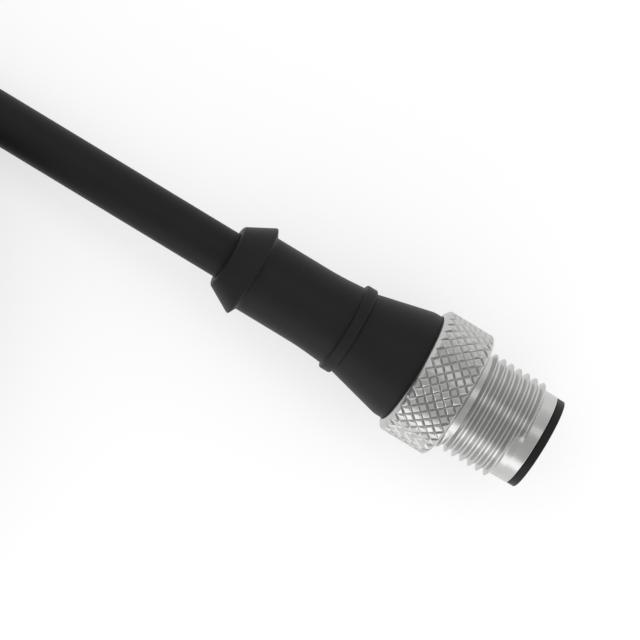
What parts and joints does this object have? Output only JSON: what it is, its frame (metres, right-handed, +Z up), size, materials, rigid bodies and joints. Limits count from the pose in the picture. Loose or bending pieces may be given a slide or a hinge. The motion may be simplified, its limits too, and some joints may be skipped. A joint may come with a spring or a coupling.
{
  "type": "m12 connector",
  "caption": "Straight male round connector: contact pins in a moulded insert, a knurled threaded coupling nut that spins, and a moulded grip on a coiled cable with open leads.",
  "frame": {"origin": "on the surface that the connector lies on, below its middle: half way between the collar's rear face and the mating face", "axes": "+X along the connector's axis towards the mating face, +Z up, the coding key at the top"},
  "size_m": [0.1311, 0.0756, 0.018],
  "materials": {
    "nickel_plate": "bright nickel plate on turned brass",
    "insert_plastic": "fine satin moulded plastic",
    "inner_plastic": "natural moulded plastic, hidden inside",
    "grip_plastic": "satin moulded elastomer",
    "jacket": "satin extruded cable jacket",
    "tie_plastic": "natural nylon",
    "gold_plate": "gold plate on turned brass",
    "copper": "bare copper strands",
    "core_brown": "core insulation",
    "core_white": "core insulation",
    "core_blue": "core insulation",
    "core_black": "core insulation",
    "tinned_copper": "tinned strands"
  },
  "bodies": {
    "connector": {"contact_carrier": "insert_plastic", "contact_pin_1": "gold_plate", "contact_pin_2": "gold_plate", "contact_pin_3": "gold_plate", "contact_pin_4": "gold_plate", "inner_premould": "inner_plastic", "overmould": "grip_plastic", "wire_brown": "core_brown", "wire_white": "core_white", "wire_blue": "core_blue", "wire_black": "core_black", "strands_1": "copper", "strands_2": "copper", "strands_3": "copper", "strands_4": "copper", "cable": "jacket", "cable_coil": "jacket", "coil_ties": "tie_plastic", "lead_brown": "core_brown", "lead_white": "core_white", "lead_blue": "core_blue", "lead_black": "core_black", "lead_tip_brown": "tinned_copper", "lead_tip_white": "tinned_copper", "lead_tip_blue": "tinned_copper", "lead_tip_black": "tinned_copper"},
    "nut": {"coupling_nut": "nickel_plate"}
  },
  "joints": [
    {"name": "nut_spin", "type": "hinge", "parent": "connector", "child": "nut", "pos_m": [0.01325, 0, 0.00737], "axis": [1, 0, 0], "continuous": true}
  ]
}
